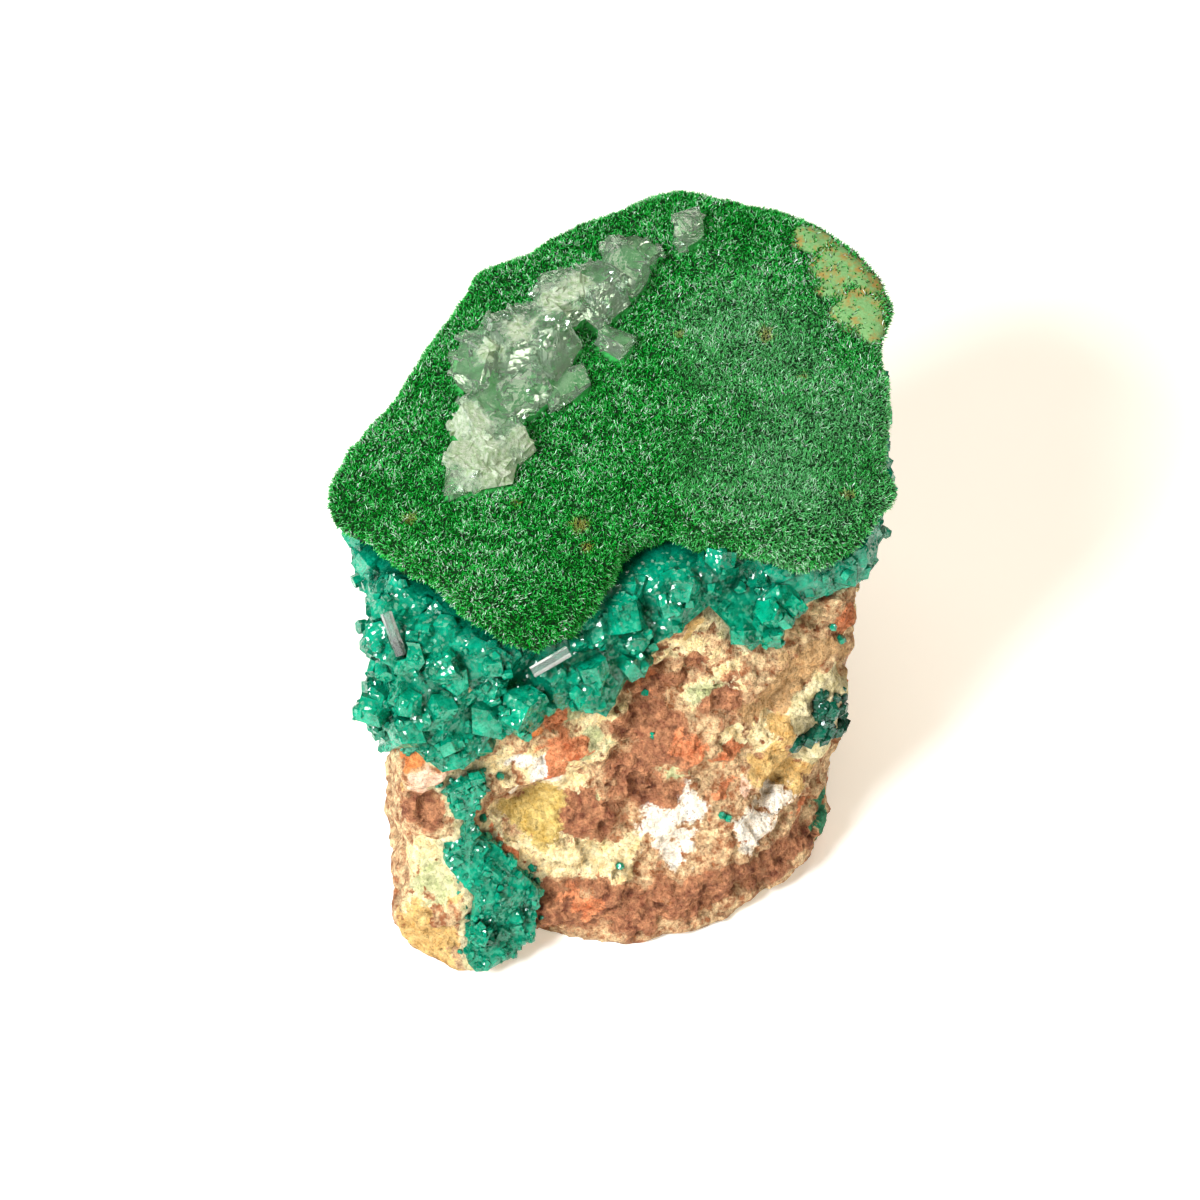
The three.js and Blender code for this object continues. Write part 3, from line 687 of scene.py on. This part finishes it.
crust = new_piece("malachite_body", crust_mesh, massive, "malachite", "malachite_crust")
print("malachite pieces:", *needle_meshes, crust.name)

# %% [markdown]
# ## Dioptase
# Dioptase is a copper silicate that grows in short six-sided prisms, each closed by three flat
# faces. The frame holds the large crystals. Small ones grew all over them, so some two thousand
# are set on the open faces here and joined to the large ones into one clear body: a crystal
# that merely overlapped another would show its faces inside.

# %% Small dioptase crystals
def dioptase_crystal(middle, up, radius, height, turn):
    """Points and faces of a six-sided prism with a three-faced cap, standing on middle along up."""
    frame_of = up.to_track_quat("Z", "X").to_matrix()
    cap = radius * 0.45
    angles = [turn + k * math.tau / 6 for k in range(6)]
    ring = [Vector((math.cos(angle) * radius, math.sin(angle) * radius, 0)) for angle in angles]
    foot = [point + Vector((0, 0, -height)) for point in ring]
    shoulder = [point + Vector((0, 0, height - cap * (1 + k % 2))) for k, point in enumerate(ring)]
    points = foot + shoulder + [Vector((0, 0, height))]
    faces = [[5, 4, 3, 2, 1, 0]]
    faces += [[k, (k + 1) % 6, 6 + (k + 1) % 6, 6 + k] for k in range(6)]
    faces += [[12, 6 + k, 6 + (k + 1) % 6, 6 + (k + 2) % 6] for k in (0, 2, 4)]
    return [middle + frame_of @ point for point in points], faces


WELD_GAP = 0.001 * MM


def joined(name, solid, shapes):
    """The solid and all these closed shapes as one skin, with nothing left inside it."""
    collection = bpy.data.collections.new(name)
    for points, faces in shapes:
        mesh = bpy.data.meshes.new(name)
        mesh.from_pydata(points, [], faces)
        collection.objects.link(bpy.data.objects.new(name, mesh))
    scene.collection.children.link(collection)
    union = {"operation": "UNION", "operand_type": "COLLECTION", "collection": collection,
             "solver": "MANIFOLD"}
    weld = {"merge_threshold": WELD_GAP}
    made = with_modifiers(solid, ("WELD", weld), ("BOOLEAN", union))
    for shape in list(collection.objects):
        bpy.data.objects.remove(shape)
    bpy.data.collections.remove(collection)
    print(name, len(shapes), "shapes joined,", len(made.polygons), "faces")
    return made


AIR_ROOM = 1.0 * MM


def open_to_air(middles, facing):
    """True where nothing of the rock or the crust stands close over a face."""
    free = []
    for middle, way in zip(middles, facing):
        ray = (Vector(middle + way * 0.05 * MM), Vector(way), AIR_ROOM)
        free.append(rock_tree.ray_cast(*ray)[0] is None and crust_tree.ray_cast(*ray)[0] is None)
    return np.array(free)


def crystals_on(solid, count, sizes_mm, lean, sunk, keep):
    """Small crystals, sunk by a share of their height, on the faces of the solid that keep accepts."""
    spots, ways, _, _ = scatter(solid, count, keep)
    low, high = sizes_mm
    made = []
    for spot, way in zip(spots, ways):
        up = (Vector(way) + Vector(rng.normal(size=3)) * lean).normalized()
        radius = (low + (high - low) * rng.random() ** 2) * MM
        height = radius * rng.uniform(0.8, 1.2)
        foot = Vector(spot) - up * height * sunk
        made.append(dioptase_crystal(foot, up, radius, height, rng.random() * math.tau))
    return made


def on_open_face(middles, facing, corners):
    return open_to_air(middles, facing) & (middles[:, 2] > 0.8 * MM)


FRINGE_WIDTH = 0.9 * MM
MOULD_CLEARANCE = 3.6 * MM
mould_middle = np.array(seen_at((526, 808), rock_tree))


def fringe_of(node_name):
    """A test for the strip of rock just outside this solid's edge."""
    own_tree = tree_of(node_name)

    def near_edge(middles, facing, corners):
        gaps = np.array([own_tree.find_nearest(Vector(middle))[3] for middle in middles])
        clear_of_mould = np.linalg.norm(middles - mould_middle, axis=1) > MOULD_CLEARANCE
        off_floor = middles[:, 2] > 1.0 * MM
        return (gaps < FRINGE_WIDTH) & open_to_air(middles, facing) & off_floor & clear_of_mould

    return near_edge


SPECK_PIXELS = ((653, 735), (722, 815), (728, 818), (842, 640), (645, 692), (833, 627), (620, 866),
                (470, 866))
SPECK_RADIUS = 0.32 * MM


def specks_on_rock():
    """Single small crystals that grew on the bare rock."""
    made = []
    for pixel in SPECK_PIXELS:
        middle, outward, _, _ = rock_tree.find_nearest(seen_at(pixel, rock_tree))
        made.append(dioptase_crystal(middle, outward, SPECK_RADIUS, SPECK_RADIUS * 1.2, pixel[0]))
    return made


# Blocks, small crystals and fringe crystals of each solid: how many, and their radii in millimetres.
DIOPTASE_GROWTH = {
    "dioptase_druse": ((150, (1.0, 2.2)), (1500, (0.16, 0.62)), (200, (0.25, 0.9))),
    "dioptase_seam": ((14, (0.6, 1.0)), (260, (0.15, 0.45)), (50, (0.2, 0.5))),
}
fine_rock = with_modifiers(nodes["matrix"].data, ("REMESH", {"mode": "VOXEL", "voxel_size": 0.7 * MM}))
dioptase_meshes = {}
for node_name, (big, small, fringe) in DIOPTASE_GROWTH.items():
    solid = nodes[node_name].data
    blocky = joined(node_name + "_blocks", solid, crystals_on(solid, *big, 0.5, 0.6, on_open_face))
    grown = crystals_on(blocky, *small, 0.7, 0.45, on_open_face)
    grown += crystals_on(fine_rock, *fringe, 0.6, 0.4, fringe_of(node_name))
    if node_name == "dioptase_seam":
        grown += specks_on_rock()
    dioptase_meshes[node_name] = joined(node_name + "_crystals", blocky, grown)

# %% [markdown]
# The growth at the right edge is thin: crystals in narrow streaks with rock between them, painted
# darker as shade on that side. So its solid is only the room that they take, and here crystals
# are strung along each streak.

# %% Streaks at the right edge
STREAKS = (((823, 686), (818, 744), 26), ((847, 682), (838, 750), 30), ((834, 700), (830, 735), 10),
           ((798, 743), (809, 737), 6))
STREAK_SPREAD_PIXELS = 3.0
STREAK_RADII = (0.25 * MM, 0.75 * MM)

streak_crystals = []
for start_pixel, end_pixel, count in STREAKS:
    for share in rng.random(count):
        pixel = np.array(start_pixel) * (1 - share) + np.array(end_pixel) * share
        spot = seen_at(pixel + rng.normal(size=2) * STREAK_SPREAD_PIXELS, rock_tree)
        if spot is None:
            continue
        up = (rock_tree.find_nearest(spot)[1] + Vector(rng.normal(size=3)) * 0.5).normalized()
        radius = STREAK_RADII[0] + (STREAK_RADII[1] - STREAK_RADII[0]) * rng.random() ** 1.5
        streak_crystals.append(dioptase_crystal(spot, up, radius, radius, rng.random() * math.tau))
first_points, first_faces = streak_crystals[0]
first_mesh = bpy.data.meshes.new("first_streak_crystal")
first_mesh.from_pydata(first_points, [], first_faces)
dioptase_meshes["dioptase_right_patch"] = joined("dioptase_streaks", first_mesh, streak_crystals[1:])

# %% [markdown]
# Dioptase is a deep emerald green with a bluish cast, clear in thin edges. Its surface here is
# covered with crystal steps of a quarter of a millimetre. In the material each step is a cell
# that tilts its own way, which breaks the gloss into sparkles.

# %% Dioptase material
DIOPTASE_IOR = 1.66
STEP_MM = 0.24
DIOPTASE_ABSORPTION = 900.0
CLOUD_MM = 1.3


def dioptase_finish(name, shaded, lit):
    """Clear dioptase between two depths of its colour, with painted shade in its crevices."""
    material, tree, shader = new_material(name)
    place = add(tree, "TexCoord").outputs["Object"]
    cell = add(tree, "TexVoronoi", {"Vector": place, "Scale": 1 / (STEP_MM * MM)})
    offset = add(tree, "VectorMath", {0: place, 1: cell.outputs["Position"]}, operation="SUBTRACT")
    tilt = add(tree, "VectorMath", {0: cell.outputs["Color"], 1: (0.5, 0.5, 0.5)}, operation="SUBTRACT")
    height = add(tree, "VectorMath", {0: offset.outputs[0], 1: tilt.outputs[0]}, operation="DOT_PRODUCT")
    steps = add(tree, "Bump", {"Height": height.outputs["Value"], "Strength": 0.7, "Distance": 1.0})
    cloud = add(tree, "TexNoise", {"Vector": place, "Scale": 1 / (CLOUD_MM * MM),
                                   "Detail": 4, "Roughness": 0.6})
    body = add(tree, "ValToRGB", {0: cloud.outputs[0]})
    for stop, (position, tint) in zip(body.color_ramp.elements, ((0.34, shaded), (0.66, lit))):
        stop.position = position
        stop.color = colour(tint)
    # painted shade: the occlusion node darkens the crystals' colour in the crevices between them
    crevice_shade = add(tree, "AmbientOcclusion", {"Distance": 1.6 * MM}, samples=2)
    painted_crevice_shade = add(tree, "MapRange", {"Value": crevice_shade.outputs["AO"], "From Min": 0.25, "From Max": 0.9,
                                   "To Min": 0.12, "To Max": 1.1})
    body_with_crevice_shade = add(tree, "Mix", {0: 1.0, MIX_A: body.outputs[0], MIX_B: painted_crevice_shade.outputs[0]},
               data_type="RGBA", blend_type="MULTIPLY")
    tree.links.new(body_with_crevice_shade.outputs[MIX_RESULT], shader.inputs["Base Color"])
    tree.links.new(steps.outputs[0], shader.inputs["Normal"])
    shader.inputs["Roughness"].default_value = 0.14
    shader.inputs["IOR"].default_value = DIOPTASE_IOR
    shader.inputs["Specular IOR Level"].default_value = 0.1
    shader.inputs["Transmission Weight"].default_value = 0.6
    absorption = add(tree, "VolumeAbsorption", {"Color": colour(0x00E8C8), "Density": DIOPTASE_ABSORPTION})
    tree.links.new(absorption.outputs[0], tree.get_output_node("ALL").inputs["Volume"])
    return material


emerald = dioptase_finish("clear_dioptase", 0x00946E, 0x02DAAA)
# painted shade: a darker copy of the dioptase for the crystals on the right side, which lies in shade
shade_painted_emerald = dioptase_finish("shade_painted_dioptase", 0x005C46, 0x008C6C)
DIOPTASE_PIECES = {
    "dioptase_crystals": ("dioptase_druse", emerald),
    "dioptase_vein": ("dioptase_seam", emerald),
    "dioptase_side_crystals": ("dioptase_right_patch", shade_painted_emerald),
}
for piece_name, (node_name, finish) in DIOPTASE_PIECES.items():
    new_piece(piece_name, dioptase_meshes[node_name], finish, "dioptase", node_name)
print("dioptase pieces:", list(DIOPTASE_PIECES))

# %% [markdown]
# ## Calcite
# The ridge on top is broken calcite: clear where a fresh cleavage shows, frosted white where the
# surface is bruised or granular. Each block of the frame gets smaller cleavage splinters joined to it.

# %% Calcite splinters
def splinter(middle, turn, size):
    """A cleavage rhomb: a box whose faces lean, as calcite breaks."""
    lean = Matrix(((1, 0.27, 0.2), (0, 1, 0.25), (0, 0, 1)))
    corners = [(x, y, z) for z in (-1, 1) for y in (-1, 1) for x in (-1, 1)]
    points = [middle + turn @ (lean @ Vector([c * s for c, s in zip(corner, size)])) for corner in corners]
    faces = [[0, 2, 3, 1], [4, 5, 7, 6], [0, 1, 5, 4], [1, 3, 7, 5], [3, 2, 6, 7], [2, 0, 4, 6]]
    return points, faces


def broken_over(node_name, count, sizes_mm):
    """The node's solid joined with small cleavage splinters that stand out of its upper faces."""
    solid = nodes[node_name].data
    spots, ways, _, _ = scatter(solid, count, lambda middles, facing, corners: facing[:, 2] > -0.2)
    low, high = sizes_mm
    chips = []
    for spot, way in zip(spots, ways):
        swing = Matrix.Rotation(rng.random() * math.tau, 3, "Z")
        turn = swing @ Matrix.Rotation(rng.normal() * 0.8, 3, "X")
        size = [(low + (high - low) * rng.random()) * MM * part for part in (1.0, 0.7, 0.42)]
        chips.append(splinter(Vector(spot) - Vector(way) * 0.25 * MM, turn, size))
    return joined(node_name + "_splinters", solid, chips)


SPLINTERS = {
    "calcite_ridge": (420, (0.18, 0.75)),
    "calcite_grain": (8, (0.25, 0.6)),
    "calcite_chip": (8, (0.25, 0.6)),
}
calcite_meshes = {name: broken_over(name, *values) for name, values in SPLINTERS.items()}

# %% Calcite material
CALCITE_IOR = 1.6
SUGAR_MM = 0.4
FROST = [((475, 450), 3.0), ((505, 470), 2.4), ((460, 420), 2.0), ((530, 440), 1.6), ((490, 352), 1.4),
         ((520, 330), 1.5), ((560, 300), 1.9), ((580, 285), 1.4)]

spar, tree, shader = new_material("cleaved_calcite")
place = add(tree, "TexCoord").outputs["Object"]
cloud = add(tree, "TexNoise", {"Vector": place, "Scale": 1 / (1.2 * MM), "Detail": 5, "Roughness": 0.65})
near = add(tree, "Attribute", attribute_name="frost")
veil = add(tree, "MapRange", {"Value": cloud.outputs[0], "From Min": 0.3, "From Max": 0.7,
                              "To Min": -0.5, "To Max": 0.5})
bruised = add(tree, "Math", {0: near.outputs["Fac"], 1: veil.outputs[0]}, operation="ADD")
frost = add(tree, "MapRange", {"Value": bruised.outputs[0], "From Min": -0.1, "From Max": 0.4})
clear = add(tree, "MapRange", {"Value": frost.outputs[0], "To Min": 0.92, "To Max": 0.5})
rough = add(tree, "MapRange", {"Value": frost.outputs[0], "To Min": 0.06, "To Max": 0.5})
sugar = add(tree, "TexNoise", {"Vector": place, "Scale": 1 / (SUGAR_MM * MM),
                               "Detail": 4, "Roughness": 0.7})
grainy = add(tree, "MapRange", {"Value": sugar.outputs[0], "From Min": 0.36, "From Max": 0.64})
frosted = add(tree, "Mix", {0: grainy.outputs[0], MIX_A: colour(0xA4C48A), MIX_B: colour(0xF4FAE8)},
              data_type="RGBA")
tint = add(tree, "Mix", {0: frost.outputs[0], MIX_A: colour(0xD4EED6), MIX_B: frosted.outputs[MIX_RESULT]},
           data_type="RGBA")
tree.links.new(tint.outputs[MIX_RESULT], shader.inputs["Base Color"])
tree.links.new(clear.outputs[0], shader.inputs["Transmission Weight"])
tree.links.new(rough.outputs[0], shader.inputs["Roughness"])
flaws = add(tree, "TexVoronoi", {"Vector": place, "Scale": 1 / (0.45 * MM)})
cleaved = add(tree, "Bump", {"Height": flaws.outputs["Distance"], "Strength": 0.2, "Distance": 0.2 * MM})
sugary = add(tree, "MapRange", {"Value": frost.outputs[0], "To Min": 0.05, "To Max": 0.9})
bump = add(tree, "Bump", {"Height": sugar.outputs[0], "Strength": sugary.outputs[0], "Distance": 0.3 * MM,
                          "Normal": cleaved.outputs[0]})
tree.links.new(bump.outputs[0], shader.inputs["Normal"])
shader.inputs["IOR"].default_value = CALCITE_IOR
CALCITE_PIECES = {
    "calcite_spine": "calcite_ridge",
    "calcite_crumb": "calcite_grain",
    "calcite_flake": "calcite_chip",
}
for piece_name, node_name in CALCITE_PIECES.items():
    mesh = calcite_meshes[node_name]
    places, _ = points_of(mesh)
    set_values(mesh, "frost", nearness(places, FROST, calcite_tree))
    new_piece(piece_name, mesh, spar, "calcite", node_name)
print("calcite pieces:", list(CALCITE_PIECES))

# %% [markdown]
# ## Clear prisms
# Two glassy bars lie among the dioptase. The frame's own solids have their shape, so they only
# need the finish: clear with faint growth lines along them.

# %% Prism material
glassy, tree, shader = new_material("clear_cerussite")
place = add(tree, "TexCoord").outputs["Object"]
lines = add(tree, "TexNoise", {"Vector": place, "Scale": 1 / (0.3 * MM), "Detail": 3})
hazy = add(tree, "MapRange", {"Value": lines.outputs[0], "From Min": 0.4, "From Max": 0.65,
                              "To Min": 0.03, "To Max": 0.18})
tree.links.new(hazy.outputs[0], shader.inputs["Roughness"])
bump = add(tree, "Bump", {"Height": lines.outputs[0], "Strength": 0.12, "Distance": 0.1 * MM})
tree.links.new(bump.outputs[0], shader.inputs["Normal"])
shader.inputs["Base Color"].default_value = colour(0xF2F8F4)
shader.inputs["IOR"].default_value = 1.8
shader.inputs["Transmission Weight"].default_value = 0.88
for name in ("clear_prism_left", "clear_prism_front"):
    nodes[name].data.materials.clear()
    nodes[name].data.materials.append(glassy)
print("prisms finished")
